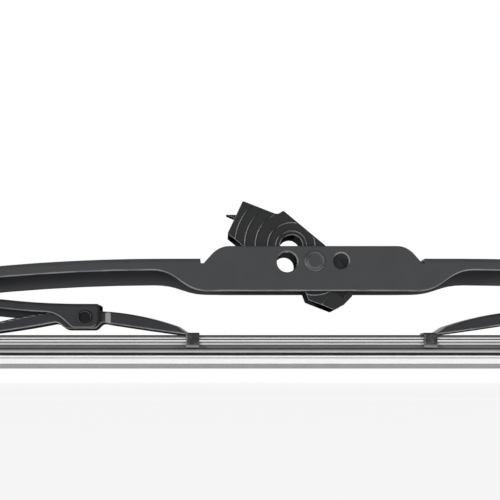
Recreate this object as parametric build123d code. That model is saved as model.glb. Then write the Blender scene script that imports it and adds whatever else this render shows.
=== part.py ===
from build123d import *
import os
from math import atan2, cos, degrees, radians, sin, sqrt

# Framed wiper blade in millimetres. X runs along the blade, Y across it (the seen side is -Y) and Z up, away
# from the glass. The origin is the middle of the pivot pin. Levers are drawn by their distance from the
# middle of the blade and mirrored to the other side.

# Whole blade
blade_middle_x = -0.6
secondary_pivot_reach = 152.0
yoke_pivot_spread = 75.4
yoke_free_reach = 36.3
yoke_nested_reach = 40.0
rubber_overhang = 15.7

# Primary bridge: saddle with an open window, two arms, two end cheeks
bridge_sheet = 1.0
bridge_bend = 1.5
saddle_width = 15.3
saddle_top = 5.0
saddle_bottom = -9.97
saddle_swell_start = 28.0
saddle_swell_end = 36.0
shoulder_foot = 36.5
shoulder_angle = 48.0
shoulder_radius = 8.0
notch_relief = 0.2
window_half_length = 37.7
arm_top = 1.1
arm_flat_end = 51.0
arm_radius = 620.0
arm_near_depth = 4.0
arm_far_depth = 7.75
arm_root_width = 13.7
arm_end_width = 11.4
saddle_sweep_start = 54.1
saddle_sweep_end = 34.9
bridge_end_past_pivot = 5.0
bridge_pivot_depth = 6.25
bridge_cheek_below_pivot = 3.6
bridge_cheek_length = 11.0
bridge_cheek_sweep = 18.0
cheek_corner = 2.3

# Slots in the tops of the arms
slot_count = 4
slot_first = 56.5
slot_pitch = 21.0
slot_length = 15.7
slot_width = 5.8
slot_corner = 2.0
slot_rim = 0.45

# Holes through the saddle walls, from the pivot pin
side_pin_hole_x = -9.3
side_pin_hole_z = -0.3
side_pin_hole_radius = 3.43
small_hole_x = 8.7
small_hole_radius = 2.67

# Pivot pin and rivets
pin_radius = 2.5
pin_head_radius = 3.5
pin_dish_radius = 2.7
pin_head_height = 0.2
pin_dish_depth = 0.12
rivet_radius = 1.6
rivet_head_radius = 2.4
rivet_head_height = 0.5
rivet_dish_radius = 1.85
rivet_dish_depth = 0.42
seat_clearance = 0.02
running_clearance = 0.05

# Plastic joint liners
liner_wall = 0.45
liner_behind_pivot = 5.0
liner_below_pivot = 2.6
liner_corner_room = 0.15
collar_length = 0.8
collar_set_in = 0.2
collar_top_drop = 0.45
collar_below_pivot = 1.6
collar_corner = 0.9

# Secondary lever
secondary_sheet = 0.8
secondary_bend = 1.2
secondary_pivot_depth = 2.5
secondary_flat_half = 19.0
secondary_drop = 2.95
secondary_end_past_pivot = 4.1
secondary_near_depth = 3.15
secondary_far_depth = 5.6
secondary_hub_half = 6.0
secondary_hub_sweep = 12.0
secondary_hub_below_pivot = 3.5
yoke_pivot_depth = 4.55
secondary_cheek_below_pivot = 3.6
secondary_cheek_length = 7.8
secondary_cheek_from = 0.745
secondary_cheek_turns = (0.6, 0.2)

# Claw yoke
yoke_sheet = 0.7
yoke_bend = 0.8
yoke_top_above_pivot = 2.25
yoke_side_play = 0.08
yoke_arm_width = 6.9
yoke_boss_below_pivot = 3.85
yoke_boss_free = 2.5
yoke_boss_nested = 5.6
yoke_free_root = 6.3
yoke_nested_root = 10.6
yoke_root_depth = 4.0
yoke_tip_depth = 0.6
yoke_free_belly = 0.1
yoke_nested_belly = 0.3
yoke_free_jog = 6.45
yoke_nested_jog = 31.5
yoke_jog_length = 2.3
yoke_jog_turns = (0.2, 0.2)
yoke_far_drop = 0.35
claw_top_below_pivot = 5.2
claw_length = 4.4
claw_ramp_before = 2.2
claw_ramp_rise = 2.0
claw_ramp_past = 0.8
claw_knee = 4.0
claw_heel = 1.5
claw_lip = 0.8
claw_mouth = 3.5
claw_play = 0.1

# Wiping rubber, from the top of its head down
head_width = 5.1
head_flange = 1.3
flexor_slot = 1.0
head_lower_flange = 1.05
head_web = 1.2
groove_height = 1.35
groove_width = 2.6
shoulder_height = 1.35
shoulder_width = 4.6
hinge_height = 0.7
hinge_width = 1.0
wedge_edge = 0.7
wedge_width = 4.2
wedge_height = 2.2
lip_height = 1.7
lip_width = 0.9
back_groove_width = 0.7
back_groove_depth = 0.35

# Flexor strips
flexor_play = 0.05
flexor_proud = 0.05
flexor_end_gap = 2.0

# Adapter, drawn about the pivot pin with its top level and then swung out as it is seen
adapter_swing = 39.7
adapter_seat_tilt = 3.2
adapter_plate_width = 12.2
hook_gap = 9.2
adapter_corner = 0.5
adapter_nose_top = (-31.5, 0.3)
adapter_nose_bottom = (-28.5, -11.3)
adapter_notch = (-19.7, 4.2)
adapter_notch_radius = 2.0
adapter_top = 6.5
adapter_step = (-18.95, 2.6)
adapter_heel = (10.5, 5.2)
adapter_tail = ((16.5, 2.0), (17.1, -1.2), (16.8, -5.0), (15.4, -8.2))
adapter_foot = ((6.6, -11.15), (3.7, -9.5), (-22.2, -11.3))
adapter_tab = ((-29.8, -3.4), (-33.3, -6.2), (-29.55, -5.0))
adapter_tab_width = 4.0
adapter_boss_radius = 4.6
nose_bar = 2.2
cross_wall_x = -16.6
cross_wall = 1.7
hook_block = (-14.7, 3.0, -10.7)
boss_rib = (-2.5, 3.8, 2.5)
heel_block = (4.3, 4.0, 10.3)
tail_block = (8.0, -9.7, 15.0, -4.7)
side_pin_room = 0.17
side_pin_spare_angle = 1.0
small_hole_room = 0.23
ridge_radii = (3.75, 5.0, 7.8, 11.9, 15.5, 18.8)
ridge_width = 0.35
ridge_height = 0.25
ridge_margin = 0.3
ridge_limit_x = -1.5
pin_ridge_radius = 10.9
pin_ridge_from = (4.0, -2.0)
tail_ridge_x = 11.0
tail_ridge_top = -2.5
tail_recess = (12.0, -3.2, 15.2, 1.5)
tail_recess_depth = 0.7

# Worked out from the sizes above
inner_yoke_pivot = secondary_pivot_reach - yoke_pivot_spread
outer_yoke_pivot = secondary_pivot_reach + yoke_pivot_spread
rubber_half_length = outer_yoke_pivot + yoke_free_reach + rubber_overhang
bridge_end = secondary_pivot_reach + bridge_end_past_pivot
notch_floor = arm_top - bridge_bend - notch_relief


def bridge_top(reach):
    """Height of the arm's top at a distance from the blade's middle."""
    past = max(0.0, reach - arm_flat_end)
    return arm_top - arm_radius + sqrt(arm_radius**2 - past**2)


def bridge_half_width(reach):
    """Half the outer width of the arm at a distance from the blade's middle."""
    share = (reach - saddle_swell_end) / (bridge_end - saddle_swell_end)
    return (arm_root_width + share * (arm_end_width - arm_root_width)) / 2


secondary_pivot_z = bridge_top(secondary_pivot_reach) - bridge_pivot_depth
secondary_top = secondary_pivot_z + secondary_pivot_depth
secondary_end_top = secondary_top - secondary_drop
secondary_end = yoke_pivot_spread + secondary_end_past_pivot
yoke_pivot_z = secondary_end_top - yoke_pivot_depth
yoke_top = yoke_pivot_z + yoke_top_above_pivot
claw_top = yoke_pivot_z - claw_top_below_pivot
head_top = claw_top - yoke_sheet - claw_play
head_height = head_flange + flexor_slot + head_lower_flange
head_bottom = head_top - head_height
bridge_inner_half = bridge_half_width(bridge_end) - bridge_sheet
secondary_half = bridge_inner_half - seat_clearance - liner_wall - yoke_side_play
secondary_inner_half = secondary_half - secondary_sheet
yoke_pinch_half = secondary_inner_half - seat_clearance - liner_wall - yoke_side_play
side_pin_reach = sqrt(side_pin_hole_x**2 + side_pin_hole_z**2)
side_pin_seat_angle = degrees(atan2(side_pin_hole_z, side_pin_hole_x)) + adapter_seat_tilt
far_away = 60.0


# Shared shapes
def sweep_edge(start, end, first=0.5, last=0.5):
    """S-shaped edge that leaves both points level, and turns more gently the larger each share of its run is."""
    run = end[0] - start[0]
    return Bezier(start, (start[0] + first * run, start[1]), (end[0] - last * run, end[1]), end)


def both_ways(sketch):
    """Sketch with its mirror image about the vertical axis."""
    return sketch + mirror(sketch, about=Plane.YZ)


def block_across(sketch, near, far):
    """Side outline (X, Z) as a block from Y = near to Y = far."""
    return Pos(0, far, 0) * extrude(Plane.XZ * sketch, far - near, dir=(0, -1, 0))


def block_upright(sketch, low, high):
    """Plan outline (X, Y) as a block from Z = low to Z = high."""
    return Pos(0, 0, low) * extrude(sketch, high - low, dir=(0, 0, 1))


def rod_across(x, z, radius, half):
    """Round rod along Y."""
    return block_across(Pos(x, z) * Circle(radius), -half, half)


def bend_edges(block, beyond):
    """Long upper edges of a block where the sheet is bent down, past a distance from the middle."""
    tops = [f for f in block.faces() if f.normal_at(f.center()).Z > 0.6]
    edges = ShapeList()
    for face in tops:
        if abs(face.center().X) > beyond:
            edges += [e for e in face.edges() if abs(e.center().Y) > 1.0]
    return edges


def pressed_channel(near_side, far_side, hollow_side, plan, hollow_plan, bend, sheet, beyond):
    """Sheet bent into a channel that opens downwards, with a wall of its own outline on each side."""
    height = (-far_away, far_away)
    outer = block_across(near_side, -far_away, 0) + block_across(far_side, 0, far_away)
    outer &= block_upright(plan, *height)
    outer = fillet(bend_edges(outer, beyond), bend)
    hollow = block_across(hollow_side, -far_away, far_away) & block_upright(hollow_plan, *height)
    hollow = fillet(bend_edges(hollow, beyond), bend - sheet)
    return outer - hollow


# Primary bridge
def arm_curve(start, end, lower):
    """Top line of an arm between two distances, moved down."""
    middle = (max(start, arm_flat_end) + end) / 2
    bent_from = max(start, arm_flat_end)
    points = [(reach, bridge_top(reach) - lower) for reach in (bent_from, middle, end)]
    curve = Curve() + ThreePointArc(*points)
    if start < arm_flat_end:
        curve += Line((start, arm_top - lower), points[0])
    return curve


def bridge_arm_side(depth):
    end_top = bridge_top(bridge_end)
    upper = arm_curve(window_half_length, bridge_end, 0)
    lower = arm_curve(window_half_length, bridge_end, depth)
    ends = Line((bridge_end, end_top), (bridge_end, end_top - depth))
    ends += Line((window_half_length, arm_top), (window_half_length, arm_top - depth))
    return make_face(upper + lower + ends)


def bridge_saddle_side(depth):
    """Half of a saddle wall: raised shoulder, relief notch and the sweep up to the arm's lower edge."""
    rise = saddle_top - notch_floor
    shoulder_x = shoulder_foot - rise * cos(radians(shoulder_angle)) / sin(radians(shoulder_angle))
    arm_bottom = bridge_top(saddle_sweep_start) - depth
    run = Polyline(
        (saddle_sweep_start, arm_bottom),
        (saddle_sweep_start, notch_floor),
        (shoulder_foot, notch_floor),
        (shoulder_x, saddle_top),
        (0, saddle_top),
        (0, saddle_bottom),
        (saddle_sweep_end, saddle_bottom),
    )
    face = make_face(run + sweep_edge((saddle_sweep_end, saddle_bottom), (saddle_sweep_start, arm_bottom)))
    corner = face.vertices().sort_by_distance((shoulder_x, saddle_top))[0]
    return fillet(corner, shoulder_radius)


def bridge_cheek_side(depth):
    """End cheek that holds the rivet, with the sweep from the arm's lower edge."""
    bottom = secondary_pivot_z - bridge_cheek_below_pivot
    cheek_start = bridge_end - bridge_cheek_length
    sweep_start = cheek_start - bridge_cheek_sweep
    start = (sweep_start, bridge_top(sweep_start) - depth)
    run = Polyline(
        (cheek_start, bottom),
        (bridge_end, bottom),
        (bridge_end, bridge_top(bridge_end) - arm_near_depth / 2),
        (sweep_start, bridge_top(sweep_start) - arm_near_depth / 2),
        start,
    )
    face = make_face(run + sweep_edge(start, (cheek_start, bottom)))
    corner = face.vertices().sort_by_distance((bridge_end, bottom))[0]
    return fillet(corner, cheek_corner)


def bridge_side(depth):
    return both_ways(bridge_arm_side(depth) + bridge_saddle_side(depth) + bridge_cheek_side(depth))


def bridge_plan(inset, extra):
    """Plan outline: wide saddle, swelling out of tapered arms."""
    saddle = (saddle_width / 2) - inset
    root = bridge_half_width(saddle_swell_end) - inset
    end = bridge_half_width(bridge_end + extra) - inset
    run = Polyline((saddle_swell_end, root), (bridge_end + extra, end), (bridge_end + extra, 0), (0, 0))
    run += Polyline((0, 0), (0, saddle), (saddle_swell_start, saddle))
    quarter = make_face(run + sweep_edge((saddle_swell_start, saddle), (saddle_swell_end, root)))
    return both_ways(quarter + mirror(quarter, about=Plane.XZ))


def bridge_hollow_side(extra):
    """What is empty inside the bridge: under the arms' tops, and all the way up in the window."""
    end = bridge_end + extra
    floor = -far_away
    run = Polyline(
        (window_half_length, arm_top - bridge_sheet),
        (window_half_length, far_away),
        (0, far_away),
        (0, floor),
        (end, floor),
        (end, bridge_top(end) - bridge_sheet),
    )
    return both_ways(make_face(run + arm_curve(window_half_length, end, bridge_sheet)))


def arm_slot(reach):
    """Cutter for one slot with a dished rim, square to the arm's top."""
    slope = (bridge_top(reach + 1) - bridge_top(reach - 1)) / 2
    place = Plane(origin=(reach, 0, bridge_top(reach)), x_dir=(1, 0, slope), z_dir=(-slope, 0, 1))
    opening = RectangleRounded(slot_length, slot_width, slot_corner)
    depth = 2 * bridge_sheet
    through = extrude(opening, depth, both=True)
    mouth = RectangleRounded(slot_length + 2 * slot_rim, slot_width + 2 * slot_rim, slot_corner + slot_rim)
    dish = loft([Pos(0, 0, -slot_rim) * opening, mouth])
    return place * (through + dish)


def primary_bridge():
    extra = bridge_sheet
    body = pressed_channel(
        bridge_side(arm_near_depth),
        bridge_side(arm_far_depth),
        bridge_hollow_side(extra),
        bridge_plan(0, 0),
        bridge_plan(bridge_sheet, extra),
        bridge_bend,
        bridge_sheet,
        window_half_length,
    )
    for number in range(slot_count):
        slot = arm_slot(slot_first + number * slot_pitch)
        body -= slot
        body -= mirror(slot, about=Plane.YZ)
    for side in (-1, 1):
        hole = rivet_radius + seat_clearance
        body -= rod_across(side * secondary_pivot_reach, secondary_pivot_z, hole, far_away)
    body = Pos(blade_middle_x, 0, 0) * body
    body -= rod_across(0, 0, pin_radius + seat_clearance, far_away)
    body -= rod_across(side_pin_hole_x, side_pin_hole_z, side_pin_hole_radius, far_away)
    body -= rod_across(small_hole_x, 0, small_hole_radius, far_away)
    return body


# Pins and rivets
def headed_pin(radius, half, head_radius, head_height, dish_radius, dish_depth):
    """Rivet along Y: shank between two faces, a low dished head outside each."""
    tip = half + head_height
    pin = rod_across(0, 0, radius, tip)
    for side in (-1, 1):
        seat = side * half
        low, high = sorted((seat, side * tip))
        pin += block_across(Circle(head_radius), low, high)
        dish_low, dish_high = sorted((side * (tip - dish_depth), side * far_away))
        pin -= block_across(Circle(dish_radius), dish_low, dish_high)
    return pin


def pivot_pin():
    half = saddle_width / 2
    return headed_pin(pin_radius, half, pin_head_radius, pin_head_height, pin_dish_radius, pin_dish_depth)


def rivet(half):
    return headed_pin(
        rivet_radius, half, rivet_head_radius, rivet_head_height, rivet_dish_radius, rivet_dish_depth
    )


# Joint liners, drawn with the pivot at the origin and the lever's open end towards +X
def rounded_top(width, low, high, radius):
    """Section (Y, Z) with its two upper corners rounded."""
    section = Pos(0, (low + high) / 2) * Rectangle(width, high - low)
    return fillet(section.vertices().group_by(Axis.Y)[-1], radius)


def joint_liner(outer_half, lever_half, lever_end, roof, lever_top, lever_inner_bend):
    """Plastic U between two levers, with a collar that shows past the outer lever's end."""
    collar_start = lever_end + seat_clearance
    collar_top = lever_top - collar_top_drop
    section = rounded_top(2 * outer_half, -liner_below_pivot, roof, lever_inner_bend + liner_corner_room)
    length = liner_behind_pivot + collar_start
    body = extrude(Plane.YZ.offset(-liner_behind_pivot) * section, length, dir=(1, 0, 0))
    ends = Pos(collar_start - length / 2, (roof - liner_below_pivot) / 2) * Rectangle(length, roof + liner_below_pivot)
    body &= block_across(fillet(ends.vertices().group_by(Axis.X)[0], collar_corner), -far_away, far_away)
    collar_half = lever_half - collar_set_in
    collar = rounded_top(2 * collar_half, -collar_below_pivot, collar_top, collar_corner)
    body += extrude(Plane.YZ.offset(collar_start) * collar, collar_length, dir=(1, 0, 0))
    ceiling = roof - liner_wall
    body -= Pos(0, 0, ceiling - far_away / 2) * Box(far_away, 2 * (outer_half - liner_wall), far_away)
    body -= rod_across(0, 0, rivet_radius + running_clearance, far_away)
    return body


def bridge_liner():
    outer_half = bridge_inner_half - seat_clearance
    lever_top = bridge_top(bridge_end) - secondary_pivot_z
    roof = lever_top - bridge_sheet - seat_clearance
    inner_bend = bridge_bend - bridge_sheet
    return joint_liner(outer_half, arm_end_width / 2, bridge_end_past_pivot, roof, lever_top, inner_bend)


def yoke_liner():
    outer_half = secondary_inner_half - seat_clearance
    roof = yoke_pivot_depth - secondary_sheet - seat_clearance
    inner_bend = secondary_bend - secondary_sheet
    return joint_liner(
        outer_half, secondary_half, secondary_end_past_pivot, roof, yoke_pivot_depth, inner_bend
    )


# Secondary lever, drawn about its own pivot
secondary_foot = secondary_end - 2 * rivet_radius


def secondary_slope(lower):
    """Sloping part of the lever's top line, moved down."""
    return sweep_edge((secondary_flat_half, secondary_top - lower), (secondary_foot, secondary_end_top - lower))


def secondary_curve(end, lower):
    """Top line of half the lever, from its middle to its end, moved down."""
    high = secondary_top - lower
    low = secondary_end_top - lower
    curve = Curve() + Line((0, high), (secondary_flat_half, high))
    curve += secondary_slope(lower)
    curve += Line((secondary_foot, low), (end, low))
    return curve


def secondary_arm_side(depth):
    lines = secondary_curve(secondary_end, 0) + secondary_curve(secondary_end, depth)
    lines += Line((0, secondary_top), (0, secondary_top - depth))
    lines += Line((secondary_end, secondary_end_top), (secondary_end, secondary_end_top - depth))
    return make_face(lines)


def secondary_hub_side(depth):
    """Deeper middle that holds the rivet of the primary bridge."""
    bottom = secondary_pivot_z - secondary_hub_below_pivot
    arm_bottom = secondary_top - depth
    outer = secondary_hub_half + secondary_hub_sweep
    run = Polyline(
        (secondary_hub_half, bottom),
        (0, bottom),
        (0, arm_bottom + secondary_sheet),
        (outer, arm_bottom + secondary_sheet),
        (outer, arm_bottom),
    )
    return make_face(run + sweep_edge((secondary_hub_half, bottom), (outer, arm_bottom)))


def secondary_cheek_side(depth):
    """End cheek that holds the rivet of a yoke, with the sweep from the arm's lower edge."""
    bottom = yoke_pivot_z - secondary_cheek_below_pivot
    cheek_start = secondary_end - secondary_cheek_length
    leave = secondary_slope(depth) @ secondary_cheek_from
    start = (leave.X, leave.Y)
    arm_middle = secondary_end_top - secondary_near_depth / 2
    run = Polyline(
        (cheek_start, bottom),
        (secondary_end, bottom),
        (secondary_end, arm_middle),
        (leave.X, arm_middle),
        start,
    )
    face = make_face(run + sweep_edge(start, (cheek_start, bottom), *secondary_cheek_turns))
    corner = face.vertices().sort_by_distance((secondary_end, bottom))[0]
    return fillet(corner, cheek_corner)


def secondary_side(depth):
    return both_ways(secondary_arm_side(depth) + secondary_hub_side(depth) + secondary_cheek_side(depth))


def secondary_hollow_side(extra):
    end = secondary_end + extra
    floor = -far_away
    run = Polyline(
        (0, secondary_top - secondary_sheet),
        (0, floor),
        (end, floor),
        (end, secondary_end_top - secondary_sheet),
    )
    return both_ways(make_face(run + secondary_curve(end, secondary_sheet)))


def secondary_lever():
    extra = secondary_sheet
    body = pressed_channel(
        secondary_side(secondary_near_depth),
        secondary_side(secondary_far_depth),
        secondary_hollow_side(extra),
        Rectangle(2 * secondary_end, 2 * secondary_half),
        Rectangle(2 * (secondary_end + extra), 2 * secondary_inner_half),
        secondary_bend,
        secondary_sheet,
        0,
    )
    body -= rod_across(0, secondary_pivot_z, rivet_radius + running_clearance, far_away)
    for side in (-1, 1):
        hole = rivet_radius + seat_clearance
        body -= rod_across(side * yoke_pivot_spread, yoke_pivot_z, hole, far_away)
    return body


# Claw yoke, drawn about its own pivot with the arm that nests in the secondary lever towards +X
free_claw_back = yoke_free_reach - claw_length / 2
nested_claw_back = yoke_nested_reach - claw_length / 2
free_claw_tip = yoke_free_reach + claw_length / 2
nested_claw_tip = yoke_nested_reach + claw_length / 2
claw_bottom = head_bottom - claw_play - claw_lip


def yoke_top_curve(lower, extra):
    """Top line of the yoke from claw to claw, moved down: bowed arm, steeper ramp, level claw."""
    claw = claw_top - lower
    crown = yoke_top - lower
    curve = Curve()
    for side, back, tip in ((-1, free_claw_back, free_claw_tip), (1, nested_claw_back, nested_claw_tip)):
        knee = (side * (back - claw_ramp_before), claw + claw_ramp_rise)
        heel = (side * (back + claw_ramp_past), claw)
        curve += TangentArc((0, crown), knee, tangent=(side, 0))
        curve += Line(knee, heel)
        curve += Line(heel, (side * (tip + extra), claw))
    return curve


def ramps_rounded(face, lower):
    """Side outline with the bends above and below each claw's ramp rounded."""
    claw = claw_top - lower
    for side, back in ((-1, free_claw_back), (1, nested_claw_back)):
        knee = (side * (back - claw_ramp_before), claw + claw_ramp_rise)
        heel = (side * (back + claw_ramp_past), claw)
        for corner, radius in ((knee, claw_knee - lower), (heel, claw_heel + lower)):
            vertex = face.vertices().sort_by_distance(corner)[0]
            face = fillet(vertex, radius)
    return face


def yoke_side(drop):
    """Side outline of a wall whose lower edge is moved down."""
    boss = yoke_pivot_z - yoke_boss_below_pivot - drop
    root = yoke_top - yoke_root_depth - drop
    arm_tip = claw_top - yoke_tip_depth - drop
    lines = yoke_top_curve(0, 0)
    lines += Polyline(
        (-free_claw_tip, claw_top),
        (-free_claw_tip, claw_bottom),
        (-free_claw_back, claw_bottom),
        (-free_claw_back, arm_tip),
    )
    lines += SagittaArc((-free_claw_back, arm_tip), (-yoke_free_root, root), -yoke_free_belly)
    lines += sweep_edge((-yoke_free_root, root), (-yoke_boss_free, boss))
    lines += Line((-yoke_boss_free, boss), (yoke_boss_nested, boss))
    lines += sweep_edge((yoke_boss_nested, boss), (yoke_nested_root, root))
    lines += SagittaArc((yoke_nested_root, root), (nested_claw_back, arm_tip), -yoke_nested_belly)
    lines += Polyline(
        (nested_claw_back, arm_tip),
        (nested_claw_back, claw_bottom),
        (nested_claw_tip, claw_bottom),
        (nested_claw_tip, claw_top),
    )
    return ramps_rounded(make_face(lines), 0)


def yoke_hollow_side(extra):
    """Empty inside of the arms and claws, down to the claws' lips."""
    lip_top = head_bottom - claw_play
    ends = Polyline(
        (-free_claw_tip - extra, claw_top - yoke_sheet),
        (-free_claw_tip - extra, lip_top),
        (nested_claw_tip + extra, lip_top),
        (nested_claw_tip + extra, claw_top - yoke_sheet),
    )
    return ramps_rounded(make_face(yoke_top_curve(yoke_sheet, extra) + ends), yoke_sheet)


def yoke_plan(inset, extra):
    """Plan outline: pinched where it runs inside the secondary lever, wider towards the claws."""
    wide = yoke_arm_width / 2 - inset
    narrow = yoke_pinch_half - inset
    free_wide = -yoke_free_jog - yoke_jog_length
    nested_wide = yoke_nested_jog + yoke_jog_length
    run = Polyline((free_wide, wide), (-free_claw_tip - extra, wide), (-free_claw_tip - extra, 0))
    run += Line((-free_claw_tip - extra, 0), (nested_claw_tip + extra, 0))
    run += Polyline((nested_claw_tip + extra, 0), (nested_claw_tip + extra, wide), (nested_wide, wide))
    run += sweep_edge((nested_wide, wide), (yoke_nested_jog, narrow), *yoke_jog_turns)
    run += Line((yoke_nested_jog, narrow), (-yoke_free_jog, narrow))
    run += sweep_edge((-yoke_free_jog, narrow), (free_wide, wide), *yoke_jog_turns)
    half = make_face(run)
    return half + mirror(half, about=Plane.XZ)


def claw_yoke():
    extra = yoke_sheet
    body = pressed_channel(
        yoke_side(0),
        yoke_side(yoke_far_drop),
        yoke_hollow_side(extra),
        yoke_plan(0, 0),
        yoke_plan(yoke_sheet, extra),
        yoke_bend,
        yoke_sheet,
        -1,
    )
    mouth_height = head_bottom - claw_bottom
    mouth_length = 2 * (nested_claw_tip + extra)
    body -= Pos(0, 0, head_bottom - mouth_height) * Box(mouth_length, claw_mouth, 2 * mouth_height)
    body -= rod_across(0, yoke_pivot_z, rivet_radius + running_clearance, far_away)
    return body


# Wiping rubber and its two flexor strips
def rubber_half_profile():
    """Half section (Y, Z): head with a flexor slot, claw groove, shoulder, hinge, wedge and lip."""
    slot_top = head_top - head_flange
    slot_bottom = slot_top - flexor_slot
    groove_bottom = head_bottom - groove_height
    shoulder_bottom = groove_bottom - shoulder_height
    hinge_bottom = shoulder_bottom - hinge_height
    wedge_top = hinge_bottom - wedge_edge
    wedge_bottom = wedge_top - wedge_height
    return make_face(
        Polyline(
            (0, head_top - back_groove_depth),
            (back_groove_width / 2, head_top),
            (head_width / 2, head_top),
            (head_width / 2, slot_top),
            (head_web / 2, slot_top),
            (head_web / 2, slot_bottom),
            (head_width / 2, slot_bottom),
            (head_width / 2, head_bottom),
            (groove_width / 2, head_bottom),
            (groove_width / 2, groove_bottom),
            (shoulder_width / 2, groove_bottom),
            (shoulder_width / 2, shoulder_bottom),
            (hinge_width / 2, shoulder_bottom),
            (hinge_width / 2, hinge_bottom),
            (wedge_width / 2, hinge_bottom),
            (wedge_width / 2, wedge_top),
            (lip_width / 2, wedge_bottom),
            (lip_width / 2, wedge_bottom - lip_height),
            (0, wedge_bottom - lip_height),
            close=True,
        )
    )


def strip_along(profile, half_length):
    """Cross section (Y, Z) drawn out along X, centred on the blade's middle."""
    return Pos(blade_middle_x, 0, 0) * extrude(Plane.YZ * profile, half_length, both=True)


def wiping_rubber():
    return strip_along(both_ways(rubber_half_profile()), rubber_half_length)


def flexor(side):
    inner = head_web / 2 + flexor_play
    outer = head_width / 2 + flexor_proud
    middle_z = head_top - head_flange - flexor_slot / 2
    section = Pos(side * (inner + outer) / 2, middle_z) * Rectangle(outer - inner, flexor_slot - 2 * flexor_play)
    return strip_along(section, rubber_half_length - flexor_end_gap)


# Adapter: two side plates joined by cross members
def adapter_outline():
    face = make_face(
        Polyline(
            adapter_nose_top,
            adapter_notch,
            (adapter_step[0], adapter_top),
            (adapter_step[1], adapter_top),
            adapter_heel,
            *adapter_tail,
            *adapter_foot,
            adapter_nose_bottom,
            close=True,
        )
    )
    face = fillet(face.vertices().sort_by_distance(adapter_notch)[1:], adapter_corner)
    return fillet(face.vertices().sort_by_distance(adapter_notch)[0], adapter_notch_radius)


def box_between(left, low, right, high):
    """Rectangle in side view between two corners."""
    return Pos((left + right) / 2, (low + high) / 2) * Rectangle(right - left, high - low)


def adapter_cross_members():
    """Members between the plates: nose bar, cross wall, hook block, pin boss with its rib, heel block, tail block."""
    inner_top = (adapter_nose_top[0] + nose_bar, adapter_nose_top[1])
    inner_bottom = (adapter_nose_bottom[0] + nose_bar, adapter_nose_bottom[1])
    members = Polygon(adapter_nose_top, inner_top, inner_bottom, adapter_nose_bottom, align=None)
    members += Pos(cross_wall_x, 0) * Rectangle(cross_wall, far_away)
    members += box_between(*hook_block, adapter_top)
    members += Circle(adapter_boss_radius)
    members += box_between(*boss_rib, adapter_top)
    members += box_between(*heel_block, adapter_top)
    members += box_between(*tail_block)
    return members & adapter_outline()


def adapter_openings():
    """Holes through both plates: the pivot pin, the path of the side pin, and the smaller side hole."""
    path_angle = adapter_swing - adapter_seat_tilt + side_pin_spare_angle
    path = CenterArc((0, 0), side_pin_reach, side_pin_seat_angle, path_angle)
    holes = Circle(pin_radius + running_clearance)
    holes += SlotArc(path, 2 * (side_pin_hole_radius + side_pin_room))
    holes += Rot(0, 0, adapter_seat_tilt) * Pos(small_hole_x, 0) * Circle(small_hole_radius + small_hole_room)
    return holes


def adapter_ridges():
    """Raised lines on the plates: rings about the side pin hole, a ring about the pin, an upright line."""
    angle = radians(side_pin_seat_angle)
    middle = Pos(side_pin_reach * cos(angle), side_pin_reach * sin(angle))
    rings = Sketch()
    for radius in ridge_radii:
        rings += middle * (Circle(radius + ridge_width) - Circle(radius))
    lines = rings & box_between(-far_away, -far_away, ridge_limit_x, far_away)
    pin_ring = Circle(pin_ridge_radius + ridge_width) - Circle(pin_ridge_radius)
    lines += pin_ring & box_between(pin_ridge_from[0], -far_away, tail_ridge_x, pin_ridge_from[1])
    lines += box_between(tail_ridge_x, -far_away, tail_ridge_x + ridge_width, tail_ridge_top)
    return lines & offset(adapter_outline(), -ridge_margin)


def adapter():
    half = adapter_plate_width / 2
    outline = adapter_outline()
    body = block_across(outline, -half, half) - block_across(outline, -hook_gap / 2, hook_gap / 2)
    body += block_across(adapter_cross_members(), -half, half)
    body += block_across(Polygon(*adapter_tab, align=None), -adapter_tab_width / 2, adapter_tab_width / 2)
    ridges = adapter_ridges()
    body += block_across(ridges, -half - ridge_height, -hook_gap / 2)
    body += block_across(ridges, hook_gap / 2, half + ridge_height)
    recess = box_between(*tail_recess)
    body -= block_across(recess, -far_away, tail_recess_depth - half)
    body -= block_across(recess, half - tail_recess_depth, far_away)
    body -= block_across(adapter_openings(), -far_away, far_away)
    return Rot(0, adapter_swing, 0) * body


# Assembly
def placed(offset_x, height, shape, facing):
    """Shape drawn about a pivot, moved to its pivot on the blade and mirrored if it faces -X."""
    if facing < 0:
        shape = mirror(shape, about=Plane.YZ)
    return Pos(blade_middle_x + offset_x, 0, height) * shape


def save(name, shape):
    export_step(shape, "parts/" + name + ".step")


os.makedirs("parts", exist_ok=True)
save("primary_bridge", primary_bridge())
save("pivot_pin", pivot_pin())
save("adapter", adapter())
save("wiping_rubber", wiping_rubber())
save("near_flexor", flexor(-1))
save("far_flexor", flexor(1))

lever = secondary_lever()
yoke = claw_yoke()
bridge_rivet = rivet(bridge_half_width(secondary_pivot_reach - rivet_head_radius))
yoke_rivet = rivet(secondary_half)
bridge_joint_liner = bridge_liner()
yoke_joint_liner = yoke_liner()
for name, side in (("left", -1), ("right", 1)):
    pivot_x = side * secondary_pivot_reach
    save(name + "_secondary_lever", placed(pivot_x, 0, lever, side))
    save(name + "_bridge_rivet", placed(pivot_x, secondary_pivot_z, bridge_rivet, side))
    save(name + "_bridge_liner", placed(pivot_x, secondary_pivot_z, bridge_joint_liner, side))
    for position, reach, outward in (("inner", inner_yoke_pivot, side), ("outer", outer_yoke_pivot, -side)):
        prefix = name + "_" + position + "_yoke"
        save(prefix, placed(side * reach, 0, yoke, outward))
        save(prefix + "_rivet", placed(side * reach, yoke_pivot_z, yoke_rivet, outward))
        save(prefix + "_liner", placed(side * reach, yoke_pivot_z, yoke_joint_liner, -outward))
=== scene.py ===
from math import radians

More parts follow.
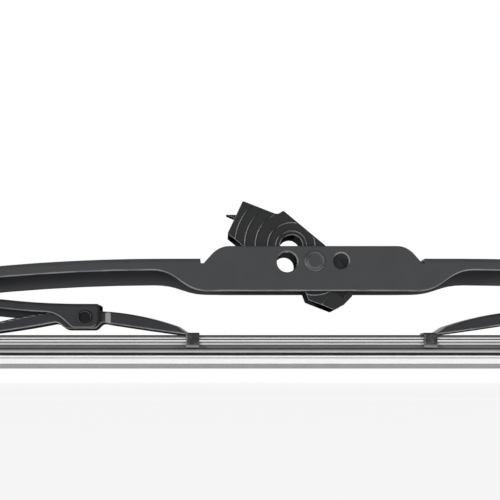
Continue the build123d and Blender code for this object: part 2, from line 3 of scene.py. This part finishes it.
import bmesh
import bpy
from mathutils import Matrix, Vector


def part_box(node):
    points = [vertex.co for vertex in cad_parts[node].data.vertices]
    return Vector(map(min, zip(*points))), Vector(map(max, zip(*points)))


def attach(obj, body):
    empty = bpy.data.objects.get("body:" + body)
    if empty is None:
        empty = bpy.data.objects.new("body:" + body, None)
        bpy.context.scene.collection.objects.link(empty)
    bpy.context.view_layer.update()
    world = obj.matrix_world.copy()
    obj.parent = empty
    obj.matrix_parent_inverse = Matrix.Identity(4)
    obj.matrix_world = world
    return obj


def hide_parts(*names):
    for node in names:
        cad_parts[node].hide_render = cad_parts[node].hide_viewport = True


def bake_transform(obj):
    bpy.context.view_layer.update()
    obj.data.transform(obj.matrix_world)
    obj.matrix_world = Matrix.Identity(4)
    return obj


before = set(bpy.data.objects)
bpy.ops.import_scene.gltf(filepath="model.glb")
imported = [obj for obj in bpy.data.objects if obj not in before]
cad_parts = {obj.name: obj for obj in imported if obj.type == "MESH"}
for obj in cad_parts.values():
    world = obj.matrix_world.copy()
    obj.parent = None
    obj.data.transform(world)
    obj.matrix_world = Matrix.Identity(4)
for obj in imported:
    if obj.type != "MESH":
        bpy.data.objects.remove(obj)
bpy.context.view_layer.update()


# Primary bridge: the main pressing of the frame, 1 mm steel folded to a channel with a high saddle.
# Blanked, pierced and folded, then painted satin black all over, so the paint is thin on cut edges.
mm = 0.001
smooth = {"interpolation_type": "SMOOTHSTEP"}
in_colour = {"data_type": "RGBA"}
times = {"operation": "MULTIPLY"}
dot = {"operation": "DOT_PRODUCT"}
to_object = {"vector_type": "NORMAL", "convert_from": "WORLD", "convert_to": "OBJECT"}
sheet_rounding = 0.9 * mm

# Most of a noise texture lies between these two values.
noise_low, noise_high = 0.3, 0.7


def linear(code):
    """An sRGB hex colour as linear RGBA."""
    levels = [int(code[i : i + 2], 16) / 255 for i in (1, 3, 5)]
    return [c / 12.92 if c <= 0.04045 else ((c + 0.055) / 1.055) ** 2.4 for c in levels] + [1.0]


def add(material, kind, fields=None, **inputs):
    """Adds a shader node with its settings and links.

    An input takes a value or another node's output. It is named with _ for a space, or i and its number.
    """
    made = material.node_tree.nodes.new("ShaderNode" + kind)
    for name, value in (fields or {}).items():
        setattr(made, name, value)
    for name, value in inputs.items():
        socket = made.inputs[int(name[1:])] if name[1:].isdigit() else made.inputs[name.replace("_", " ")]
        if isinstance(value, bpy.types.NodeSocket):
            material.node_tree.links.new(value, socket)
        else:
            socket.default_value = value
    return made


def new_material(name):
    """A material with no nodes yet."""
    made = bpy.data.materials.new(name)
    made.use_nodes = True
    made.node_tree.nodes.clear()
    return made


def worn_and_highlit_edges(material, rounding, towards):
    """Where cut edges are pale, 0 to 1, and the rounded normal there: thin paint rubbed pale, with a painted
    highlight.

    Only the outer sides are pale, along edges that face the direction towards, where the light comes from,
    and not evenly.
    """
    flat_turn, edge_turn = 0.996, 0.95
    away_from_light, towards_light = 0.0, 0.2
    inner_side, outer_side = 0.5 * mm, 1.5 * mm
    patch_size, patch_low, patch_high, least_pale = 8 * mm, 0.3, 0.6, 0.45
    place = add(material, "TexCoord").outputs["Object"]
    rounded = add(material, "Bevel", {"samples": 8}, Radius=rounding).outputs[0]
    flat = add(material, "NewGeometry").outputs["Normal"]
    turn = add(material, "VectorMath", dot, i0=rounded, i1=flat).outputs["Value"]
    near_edge = add(material, "MapRange", smooth, Value=turn, From_Min=flat_turn, From_Max=edge_turn)
    own_rounded = add(material, "VectorTransform", to_object, Vector=rounded).outputs[0]
    facing = add(material, "VectorMath", dot, i0=own_rounded, i1=towards).outputs["Value"]
    facing_the_light = add(material, "MapRange", smooth, Value=facing, From_Min=away_from_light, From_Max=towards_light)
    own_flat = add(material, "VectorTransform", to_object, Vector=flat).outputs[0]
    spread = add(material, "VectorMath", times, i0=place, i1=own_flat).outputs[0]
    across = add(material, "SeparateXYZ", Vector=spread).outputs["Y"]
    outward = add(material, "MapRange", smooth, Value=across, From_Min=inner_side, From_Max=outer_side)
    patchy = add(material, "TexNoise", Vector=place, Scale=1 / patch_size, Detail=2.0).outputs["Fac"]
    uneven = add(
        material, "MapRange", smooth, Value=patchy, From_Min=patch_low, From_Max=patch_high, To_Min=least_pale
    )
    rubbed_and_highlit = near_edge.outputs[0]
    for share in (facing_the_light, outward, uneven):
        rubbed_and_highlit = add(material, "Math", times, i0=rubbed_and_highlit, i1=share.outputs[0]).outputs[0]
    return rubbed_and_highlit, rounded


def satin_paint(name, dark, light, edge, roughness, rounding, ior=1.36, marks=None):
    """Satin black stoving paint: an even dark film with a faint orange peel, thin and paler on cut edges,
    where a highlight is also painted.

    Its grit and orange peel are too fine to show, so they are drawn coarser, at 0.35 and 0.9 mm.
    """
    cloud_size, grit_size, peel_size, peel_depth = 7 * mm, 0.35 * mm, 0.9 * mm, 0.012 * mm
    glossiest, dullest = roughness - 0.05, roughness + 0.06
    lower_edges = (-0.45, 0.0, -0.9)
    made = new_material(name)
    place = add(made, "TexCoord").outputs["Object"]
    cloud = add(made, "TexNoise", Vector=place, Scale=1 / cloud_size, Detail=4.0).outputs["Fac"]
    grit = add(made, "TexNoise", Vector=place, Scale=1 / grit_size, Detail=2.0).outputs["Fac"]
    peel = add(made, "TexNoise", Vector=place, Scale=1 / peel_size, Detail=1.0).outputs["Fac"]
    film = add(made, "Mix", in_colour, Factor=cloud, i6=linear(dark), i7=linear(light)).outputs[2]
    if marks:
        film = marks(made, film)
    # Pale lower cut edges: thin paint rubbed pale, with a painted highlight where they face the light from
    # below and the left.
    rubbed_and_highlit, rounded = worn_and_highlit_edges(made, rounding, lower_edges)
    colour = add(made, "Mix", in_colour, Factor=rubbed_and_highlit, i6=film, i7=linear(edge)).outputs[2]
    rough = add(
        made, "MapRange", Value=grit,
        From_Min=noise_low, From_Max=noise_high, To_Min=glossiest, To_Max=dullest,
    ).outputs[0]
    ripple = add(made, "Bump", Strength=0.5, Distance=peel_depth, Height=peel, Normal=rounded).outputs[0]
    paint = add(made, "BsdfPrincipled", Base_Color=colour, Roughness=rough, IOR=ior, Normal=ripple)
    add(made, "OutputMaterial", Surface=paint.outputs[0])
    return made


def dress(node, material):
    """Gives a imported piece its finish."""
    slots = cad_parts[node].data.materials
    slots.clear()
    slots.append(material)


# Its edge tone is the thin paint on cut edges together with a painted highlight.
bridge_paint = satin_paint(
    "satin_black_stoving_paint", "#38393b", "#404143", "#96979a", roughness=0.38, rounding=sheet_rounding
)
dress("primary_bridge", bridge_paint)


# Pivot pin: a solid steel rivet across the saddle that the connector swings on.
# Its heads are spun flush into the saddle's sides and painted with the frame.
dress("pivot_pin", bridge_paint)


# Adapter: the connector that clips over the arm's hook, one black acetal moulding.
# Sparked mould faces leave it matt, with rubbed ridges that carry a painted highlight, and painted shade on
# the faces between its sides.
def moulded_plastic(name, dark, light, edge, roughness, grain, rounding):
    """A moulded black plastic: matt spark-eroded sides, paler where ridges and corners are rubbed and where a
    highlight is painted on them.

    The faces between the sides are painted near black as shade, with no sheen.
    The spark-eroded grain is too fine to show, so it is drawn coarser, at 0.25 to 0.3 mm.
    """
    cloud_size, grain_depth = 4 * mm, 0.01 * mm
    glossiest, dullest = roughness - 0.06, roughness + 0.06
    edge_on, side_on = 0.3, 0.7
    # Painted shade: the faces between the two sides are made near black.
    between_sides_shade = "#080808"
    side_sheen = 0.5
    nose_and_foot = (-0.7, 0.0, -0.7)
    made = new_material(name)
    place = add(made, "TexCoord").outputs
    cloud = add(made, "TexNoise", Vector=place["Object"], Scale=1 / cloud_size, Detail=3.0).outputs["Fac"]
    spark = add(made, "TexNoise", Vector=place["Object"], Scale=1 / grain, Detail=2.0).outputs["Fac"]
    skin = add(made, "Mix", in_colour, Factor=cloud, i6=linear(dark), i7=linear(light)).outputs[2]
    across = add(made, "SeparateXYZ", Vector=place["Normal"]).outputs["Y"]
    across = add(made, "Math", {"operation": "ABSOLUTE"}, i0=across).outputs[0]
    on_side = add(made, "MapRange", smooth, Value=across, From_Min=edge_on, From_Max=side_on).outputs[0]
    # Faces between the two sides: painted near black as shade.
    skin = add(made, "Mix", in_colour, Factor=on_side, i6=linear(between_sides_shade), i7=skin).outputs[2]
    # Pale ridges and corners: rubbed plastic, with a painted highlight where they face the light from below
    # and the left.
    rubbed_and_highlit, rounded = worn_and_highlit_edges(made, rounding, nose_and_foot)
    rubbed_and_highlit = add(made, "Math", times, i0=rubbed_and_highlit, i1=on_side).outputs[0]
    colour = add(made, "Mix", in_colour, Factor=rubbed_and_highlit, i6=skin, i7=linear(edge)).outputs[2]
    rough = add(
        made, "MapRange", Value=spark,
        From_Min=noise_low, From_Max=noise_high, To_Min=glossiest, To_Max=dullest,
    ).outputs[0]
    ripple = add(made, "Bump", Strength=0.6, Distance=grain_depth, Height=spark, Normal=rounded).outputs[0]
    sheen = add(made, "Math", times, i0=on_side, i1=side_sheen).outputs[0]
    plastic = add(
        made, "BsdfPrincipled", Base_Color=colour, Roughness=rough, IOR=1.36,
        Specular_IOR_Level=sheen, Normal=ripple,
    )
    add(made, "OutputMaterial", Surface=plastic.outputs[0])
    return made


acetal = moulded_plastic(
    "black_acetal", "#212122", "#292a2b", "#a4a5a7", roughness=0.6, grain=0.3 * mm, rounding=0.35 * mm
)
dress("adapter", acetal)


# Secondary levers: slimmer channels of the same steel that share the load between two yokes.
# They hang in the bridge's end cheeks and are painted the same satin black. Their copy of the paint is darker
# than the bridge's: painted shade from the bridge above them.
shaded_lever_paint = satin_paint(
    "satin_black_shaded_lever_paint", "#27282a", "#2f3032", "#8e8f92", roughness=0.34, rounding=sheet_rounding
)
dress("left_secondary_lever", shaded_lever_paint)
dress("right_secondary_lever", shaded_lever_paint)


# Yokes: the smallest channels, with two claws each that grip the refill's head.
# Folded from thin steel; the claws are closed round the rubber after painting.
claw_height = 4.4 * mm
claw_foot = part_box("left_inner_yoke")[0].z
claw_top = claw_foot + claw_height


def claw_and_jog_highlights(material, film):
    """Painted highlights on the yoke's film: a pale painted highlight on the jog, painted pale glints on the
    claws and a painted highlight along their foot.
    """
    glint_size, glint_low, glint_high, glint_share = 0.8 * mm, 0.45, 0.62, 0.45
    above_claw, below_top = claw_top + 0.2 * mm, claw_top - 0.2 * mm
    above_foot, full_foot = claw_foot + 1.1 * mm, claw_foot + 0.6 * mm
    straight_wall, jog_wall, steep_wall, end_face = 0.1, 0.3, 0.6, 0.8
    glint_grey, foot_highlight_grey, jog_highlight_grey = linear("#5e5f62"), linear("#77787b"), linear("#8e8f92")
    place = add(material, "TexCoord").outputs
    height = add(material, "SeparateXYZ", Vector=place["Object"]).outputs["Z"]
    on_claw = add(material, "MapRange", smooth, Value=height, From_Min=above_claw, From_Max=below_top)
    # Pale specks on the claws: painted glints.
    patchy = add(material, "TexNoise", Vector=place["Object"], Scale=1 / glint_size, Detail=1.0)
    glint = add(
        material, "MapRange", smooth, Value=patchy.outputs["Fac"],
        From_Min=glint_low, From_Max=glint_high, To_Max=glint_share,
    )
    glint = add(material, "Math", times, i0=on_claw.outputs[0], i1=glint.outputs[0]).outputs[0]
    film = add(material, "Mix", in_colour, Factor=glint, i6=film, i7=glint_grey).outputs[2]
    # A paler foot of the claws: a painted highlight.
    on_foot = add(material, "MapRange", smooth, Value=height, From_Min=above_foot, From_Max=full_foot)
    film = add(material, "Mix", in_colour, Factor=on_foot.outputs[0], i6=film, i7=foot_highlight_grey).outputs[2]
    # A paler jog where the wall turns along the blade: a painted highlight.
    along = add(material, "SeparateXYZ", Vector=place["Normal"]).outputs["X"]
    along = add(material, "Math", {"operation": "ABSOLUTE"}, i0=along).outputs[0]
    turned = add(material, "MapRange", smooth, Value=along, From_Min=straight_wall, From_Max=jog_wall)
    no_end = add(material, "MapRange", smooth, Value=along, From_Min=end_face, From_Max=steep_wall)
    on_jog = add(material, "Math", times, i0=turned.outputs[0], i1=no_end.outputs[0]).outputs[0]
    return add(material, "Mix", in_colour, Factor=on_jog, i6=film, i7=jog_highlight_grey).outputs[2]


# A darker copy of the frame's paint: painted shade under the levers and bridge, with the painted highlights
# below on jog and claws.
shaded_yoke_paint = satin_paint(
    "satin_black_shaded_yoke_paint", "#252628", "#2d2e30", "#949598",
    roughness=0.34, rounding=sheet_rounding, marks=claw_and_jog_highlights,
)
for side in ("left", "right"):
    for place in ("inner", "outer"):
        dress(f"{side}_{place}_yoke", shaded_yoke_paint)


# Rivets and joint liners: steel rivets with dished heads turn in black nylon liners.
# The liner is a snapped-in channel that keeps the painted walls from rubbing.
liner_nylon = moulded_plastic(
    "black_nylon", "#141415", "#1b1b1c", "#8c8d8f", roughness=0.5, grain=0.25 * mm, rounding=0.1 * mm
)
# Darker than the frame's paint: painted shade in the rivets' dished heads.
rivet_shaded_black = satin_paint(
    "rivet_steel_with_painted_shade", "#121213", "#1a1a1b", "#626365", roughness=0.5, rounding=0.35 * mm, ior=1.25
)
for side in ("left", "right"):
    for joint in ("bridge", "inner_yoke", "outer_yoke"):
        dress(f"{side}_{joint}_rivet", rivet_shaded_black)
        dress(f"{side}_{joint}_liner", liner_nylon)


# Refill: a graphited rubber strip with a slotted head, a narrow hinge and a wiping lip.
# Extruded, cured and coated, then slid through the claws with a spring steel flexor in each slot.
rubber_low, rubber_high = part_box("wiping_rubber")
flexor_low, flexor_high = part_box("near_flexor")
blade_middle = (rubber_low.x + rubber_high.x) / 2
rubber_half_length = (rubber_high.x - rubber_low.x) / 2
flexor_half_length = (flexor_high.x - flexor_low.x) / 2
flexor_thickness = 0.62 * mm
corner_rounding = 0.1 * mm
bend_pitch = 4.5 * mm
spigot_length = 0.9 * mm
spigot_inset = 0.08 * mm
touching = 0.001 * mm
sharp_corner = radians(35)

# Half of the section, in mm: distance from the middle plane, and drop below the back.
section_half = [
    (0.00, 0.35), (0.35, 0.00), (2.55, 0.00), (2.55, 0.38), (2.55, 0.68), (2.55, 1.00), (2.55, 1.30),
    (0.60, 1.30), (0.60, 2.30), (2.55, 2.30), (2.55, 2.62), (2.55, 3.35), (1.30, 3.35), (1.30, 4.40),
    (1.30, 4.70), (2.30, 4.70), (2.30, 5.05), (2.30, 5.42), (2.30, 5.70), (2.30, 6.05), (0.50, 6.05),
    (0.50, 6.75), (2.10, 6.75), (2.10, 7.05), (2.10, 7.45), (1.84, 7.80), (1.59, 8.13), (0.45, 9.65),
    (0.45, 11.35), (0.00, 11.35),
]

# Bands down the side: name, the drop in mm where the band ends, and its two tones. The tones are painted
# light and shade on dark graphited rubber: painted sheen and highlights on the flanges, shoulder and wedge,
# painted shade in the slot, grooves and hinge.
rubber_light_and_shade_bands = [
    ("back_edge", 0.38, "#0f0e0f", "#171617"),
    ("upper_rim", 0.68, "#393839", "#444344"),
    ("upper_flange", 1.00, "#939293", "#a2a1a2"),
    ("flange_foot", 1.31, "#dbdadb", "#e9e8e9"),
    ("slot", 2.62, "#565556", "#636263"),
    ("lower_flange", 3.34, "#b1b0b1", "#c3c2c3"),
    ("groove", 4.39, "#5e5d5e", "#6e6d6e"),
    ("groove_foot", 4.69, "#141314", "#1c1b1c"),
    ("shoulder_top", 5.05, "#4e4d4e", "#5c5b5c"),
    ("shoulder_upper", 5.42, "#848384", "#949394"),
    ("shoulder", 5.70, "#b3b2b3", "#c5c4c5"),
    ("shoulder_foot", 6.04, "#919091", "#a1a0a1"),
    ("hinge", 6.76, "#111011", "#191819"),
    ("wedge_edge", 7.05, "#727172", "#828182"),
    ("wedge_rim", 7.45, "#f0eff0", "#f8f7f8"),
    ("wedge_shade", 7.79, "#b3b2b3", "#c5c4c5"),
    ("wedge_upper", 8.12, "#d7d6d7", "#e5e4e5"),
    ("wedge", 9.64, "#fbfafb", "#ffffff"),
    ("lip", 12.0, "#8b8a8b", "#9d9c9d"),
]
back_tones = ("#5f5e5d", "#706f6d")
back_drop = 0.4
back_rise = 0.3


def graphited_rubber(zone, low, high):
    """Graphited rubber: matt, streaked along the extrusion, in one band's two tones, which carry a painted
    sheen and painted shade.

    The streaks are drawn 0.4 mm wide, coarser than the real ones, so that they show.
    """
    streak_width, streak_stretch, streak_depth = 0.4 * mm, 0.06, 0.008 * mm
    bloom_size, bloom_gain = 5 * mm, 2.0
    streak_share, plain_share = 0.6, 0.2
    made = new_material("graphited_rubber_" + zone)
    place = add(made, "TexCoord").outputs["Object"]
    along = add(made, "Mapping", Vector=place, Scale=(streak_stretch, 1.0, 1.0)).outputs[0]
    streak = add(made, "TexNoise", Vector=along, Scale=1 / streak_width, Detail=3.0).outputs["Fac"]
    bloom = add(made, "TexNoise", Vector=place, Scale=1 / bloom_size, Detail=3.0).outputs["Fac"]
    share = add(
        made, "Math", {"operation": "MULTIPLY_ADD"}, i0=streak, i1=streak_share, i2=plain_share
    ).outputs[0]
    share = add(made, "Math", times, i0=share, i1=bloom).outputs[0]
    share = add(made, "Math", times, i0=share, i1=bloom_gain).outputs[0]
    colour = add(made, "Mix", in_colour, Factor=share, i6=linear(low), i7=linear(high)).outputs[2]
    rough = add(
        made, "MapRange", Value=streak, From_Min=noise_low, From_Max=noise_high, To_Min=0.5, To_Max=0.62
    ).outputs[0]
    ripple = add(made, "Bump", Strength=0.4, Distance=streak_depth, Height=streak).outputs[0]
    rubber = add(made, "BsdfPrincipled", Base_Color=colour, Roughness=rough, IOR=1.5, Normal=ripple)
    add(made, "OutputMaterial", Surface=rubber.outputs[0])
    return made


def spring_steel():
    """Bright rolled spring steel: fine drawing lines along the strip, a clear but soft reflection.

    The lines are drawn 0.2 mm wide, coarser than the real ones, so that they show.
    """
    line_width, line_stretch, line_depth = 0.2 * mm, 0.03, 0.004 * mm
    made = new_material("rolled_spring_steel")
    place = add(made, "TexCoord").outputs["Object"]
    along = add(made, "Mapping", Vector=place, Scale=(line_stretch, 1.0, 1.0)).outputs[0]
    line = add(made, "TexNoise", Vector=along, Scale=1 / line_width, Detail=3.0).outputs["Fac"]
    colour = add(made, "Mix", in_colour, Factor=line, i6=linear("#e1e0de"), i7=linear("#fbfaf8")).outputs[2]
    rough = add(
        made, "MapRange", Value=line, From_Min=noise_low, From_Max=noise_high, To_Min=0.22, To_Max=0.36
    ).outputs[0]
    ripple = add(made, "Bump", Strength=0.4, Distance=line_depth, Height=line).outputs[0]
    steel = add(made, "BsdfPrincipled", Base_Color=colour, Metallic=1.0, Roughness=rough, Normal=ripple)
    add(made, "OutputMaterial", Surface=steel.outputs[0])
    return made


rubber_materials = [graphited_rubber(zone, low, high) for zone, drop, low, high in rubber_light_and_shade_bands]
rubber_materials.append(graphited_rubber("back", *back_tones))
steel_material = spring_steel()


def swept(outline, start, end):
    """A closed bar with that (Y, Z) outline from X start to X end, cut across often enough to bend."""
    bar = bmesh.new()
    bar.faces.new([bar.verts.new((start, y, z)) for y, z in outline])
    bmesh.ops.bevel(
        bar, geom=list(bar.verts), offset=corner_rounding, offset_type="OFFSET", segments=2, profile=0.5,
        affect="VERTICES", material=-1, clamp_overlap=True,
    )
    grown = bmesh.ops.extrude_face_region(bar, geom=list(bar.faces))["geom"]
    moved = [v for v in grown if isinstance(v, bmesh.types.BMVert)]
    bmesh.ops.translate(bar, verts=moved, vec=(end - start, 0, 0))
    long_edges = [e for e in bar.edges if abs(e.verts[0].co.x - e.verts[1].co.x) > touching]
    cuts = max(1, round((end - start) / bend_pitch)) - 1
    if cuts:
        bmesh.ops.subdivide_edges(bar, edges=long_edges, cuts=cuts, use_grid_fill=False)
    bmesh.ops.recalc_face_normals(bar, faces=bar.faces)
    return bar


def put_in_scene(shape, name, materials):
    """Makes a mesh object of a bmesh, smooth but for sharp corners."""
    mesh = bpy.data.meshes.new(name)
    for edge in shape.edges:
        edge.smooth = edge.is_manifold and edge.calc_face_angle(0) < sharp_corner
    for face in shape.faces:
        face.smooth = True
    shape.to_mesh(mesh)
    shape.free()
    for material in materials:
        mesh.materials.append(material)
    made = bpy.data.objects.new(name, mesh)
    bpy.context.scene.collection.objects.link(made)
    return made


half_outline = [(y * mm, rubber_high.z - drop * mm) for y, drop in section_half]
full_outline = half_outline + [(-y, z) for y, z in reversed(half_outline) if y > 0]


def tone_of(face):
    """Which material a face of the refill takes, from how far it lies below the refill's back."""
    drop = (rubber_high.z - face.calc_center_median().z) / mm
    if drop < back_drop and face.normal.z > back_rise:
        return len(rubber_light_and_shade_bands)
    return next(i for i, band in enumerate(rubber_light_and_shade_bands) if drop < band[1])


def refill_stretch(name, start, end, spigot):
    """One stretch of rubber and of both flexors, from distance start to end along X.

    A spigot at start goes a little way into the next stretch, so that no gap opens as they turn apart.
    """
    low, high = min(start, end), max(start, end)
    bar = swept(full_outline, blade_middle + low, blade_middle + high)
    if spigot:
        start_x = blade_middle + start
        caps = [face for face in bar.faces if abs(face.calc_center_median().x - start_x) < touching]
        bmesh.ops.inset_region(bar, faces=caps, thickness=spigot_inset, use_even_offset=True)
        reach = spigot_length if start > end else -spigot_length
        bmesh.ops.translate(bar, verts=caps[0].verts, vec=(reach, 0, 0))
    for face in bar.faces:
        face.material_index = tone_of(face)
    rubber = put_in_scene(bar, "rubber_" + name, rubber_materials)
    strips = bmesh.new()
    low = max(low, -flexor_half_length)
    high = min(high, flexor_half_length)
    top = flexor_low.z + flexor_thickness
    for near_y, far_y in ((flexor_low.y, flexor_high.y), (-flexor_high.y, -flexor_low.y)):
        corners = [(near_y, flexor_low.z), (far_y, flexor_low.z), (far_y, top), (near_y, top)]
        strip = swept(corners, blade_middle + low, blade_middle + high)
        strip_mesh = bpy.data.meshes.new("strip")
        strip.to_mesh(strip_mesh)
        strips.from_mesh(strip_mesh)
        strip.free()
        bpy.data.meshes.remove(strip_mesh)
    flexor = put_in_scene(strips, "flexors_" + name, [steel_material])
    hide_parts("wiping_rubber")
    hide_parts("near_flexor", "far_flexor")
    return rubber, flexor


# Stretches, in mm from the blade's middle: name, start, end and the body that carries it.
# One that should bend also has the other body and the two places that a blend towards that body would run
# between; this script only fixes such a stretch in place, attached to no body, and does not use those places.
claw_1, claw_2, lever_turn, claw_3 = 40.3, 116.6, 152.0, 187.4
for side_name, side in (("left", -1), ("right", 1)):
    lever, inner, outer = f"{side_name}_lever", f"{side_name}_inner_claws", f"{side_name}_outer_claws"
    stretches = (
        ("middle", 0.0, claw_1, "frame", lever, -168.5, 110.2),
        ("inner", claw_1, claw_2, inner, None, 0, 0),
        ("inside_turn", claw_2, lever_turn, inner, lever, 83.6, 252.6),
        ("outside_turn", lever_turn, claw_3, outer, lever, 220.4, 51.4),
        ("outer", claw_3, rubber_half_length / mm, outer, None, 0, 0),
    )
    spigots = ("outside_turn", "middle") if side > 0 else ("outside_turn",)
    for name, near, far, body, other, blend_start, blend_end in stretches:
        start, end = side * near * mm, side * far * mm
        for piece in refill_stretch(f"{side_name}_{name}", start, end, name in spigots):
            if other:
                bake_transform(piece)
            else:
                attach(piece, body)


# Studio: a white paper floor just under the blade's flexed tips, and a white surround, dimmer overhead.
# The lamps act as polarised ones, so that no satin face mirrors them.
# The camera looks level along Y from just under the wiping lip, with its picture shifted up.
larger = {"operation": "MAXIMUM"}
floor_height = -46 * mm
floor_half = 3.0
fade_start, fade_end = 0.35, 1.3

# How much of the floor glows by itself: seen near the blade, seen far off, and in the light it throws back.
glow_near, glow_far, glow_bounce = 0.8, 0.96, 0.25
floor_shape = bmesh.new()
bmesh.ops.create_grid(floor_shape, x_segments=1, y_segments=1, size=floor_half)
bmesh.ops.translate(floor_shape, verts=floor_shape.verts, vec=(0, 0, floor_height))
white_paper = new_material("white_paper")
ray = add(white_paper, "LightPath").outputs
paper = add(white_paper, "BsdfDiffuse", Color=linear("#e6e6e6"))
glow = add(white_paper, "Emission", Color=linear("#ffffff"), Strength=1.05)
seen = add(white_paper, "Math", larger, i0=ray["Is Camera Ray"], i1=ray["Is Glossy Ray"]).outputs[0]
seen = add(white_paper, "Math", larger, i0=seen, i1=ray["Is Transmission Ray"]).outputs[0]
spot = add(white_paper, "TexCoord").outputs["Object"]
away = add(white_paper, "VectorMath", {"operation": "LENGTH"}, i0=spot).outputs["Value"]
fade = add(
    white_paper, "MapRange", smooth, Value=away,
    From_Min=fade_start, From_Max=fade_end, To_Min=glow_near, To_Max=glow_far,
).outputs[0]
seen = add(white_paper, "Math", times, i0=seen, i1=fade).outputs[0]
seen = add(white_paper, "Math", larger, i0=seen, i1=glow_bounce).outputs[0]
mixed = add(white_paper, "MixShader", Fac=seen, i1=paper.outputs[0], i2=glow.outputs[0])
add(white_paper, "OutputMaterial", Surface=mixed.outputs[0])
floor = put_in_scene(floor_shape, "floor", [white_paper])

overhead = 0.8
world = bpy.data.worlds.new("white_surround")
bpy.context.scene.world = world
world.use_nodes = True
world.node_tree.nodes.clear()
ray = add(world, "LightPath").outputs
height = add(world, "SeparateXYZ", Vector=add(world, "TexCoord").outputs["Generated"]).outputs["Z"]
lighting = add(
    world, "MapRange", smooth, Value=height, From_Min=0.0, From_Max=overhead, To_Min=0.95, To_Max=0.2
).outputs[0]
mirrored = add(
    world, "MapRange", smooth, Value=height, From_Min=0.1, From_Max=overhead, To_Min=1.0, To_Max=0.35
).outputs[0]
seen = add(world, "Math", larger, i0=ray["Is Camera Ray"], i1=ray["Is Transmission Ray"]).outputs[0]
level = add(world, "Mix", i0=ray["Is Glossy Ray"], i2=lighting, i3=mirrored).outputs[0]
level = add(world, "Mix", i0=seen, i2=level, i3=1.0).outputs[0]
sky = add(world, "Background", Color=linear("#ffffff"), Strength=level)
add(world, "OutputWorld", Surface=sky.outputs[0])

for name, place, aim, size, watts in (
    ("left_light", (-1.85, -1.7, 0.1), (-0.06, 0, -0.02), 0.6, 34.0),
    ("right_light", (2.1, -1.4, 0.25), (0, 0, -0.02), 1.0, 32.0),
    ("back_light", (0.5, 2.2, 0.3), (0, 0, -0.02), 1.0, 22.0),
):
    lamp = bpy.data.lights.new(name, "AREA")
    lamp.size = size
    lamp.energy = watts
    stand = bpy.data.objects.new(name, lamp)
    stand.location = place
    stand.rotation_euler = (Vector(aim) - Vector(place)).to_track_quat("-Z", "Y").to_euler()
    stand.visible_glossy = False
    bpy.context.scene.collection.objects.link(stand)

camera = bpy.data.cameras.new("camera")
camera.lens = 61.56
camera.sensor_width = 36.0
camera.shift_x = 0.06
camera.shift_y = 0.252
camera.clip_start = 10 * mm
viewer = bpy.data.objects.new("camera", camera)
viewer.location = (-31.67 * mm, -292.65 * mm, -38.33 * mm)
viewer.rotation_euler = (radians(90), 0, 0)
bpy.context.scene.collection.objects.link(viewer)
bpy.context.scene.camera = viewer
bpy.context.scene.view_settings.view_transform = "Standard"
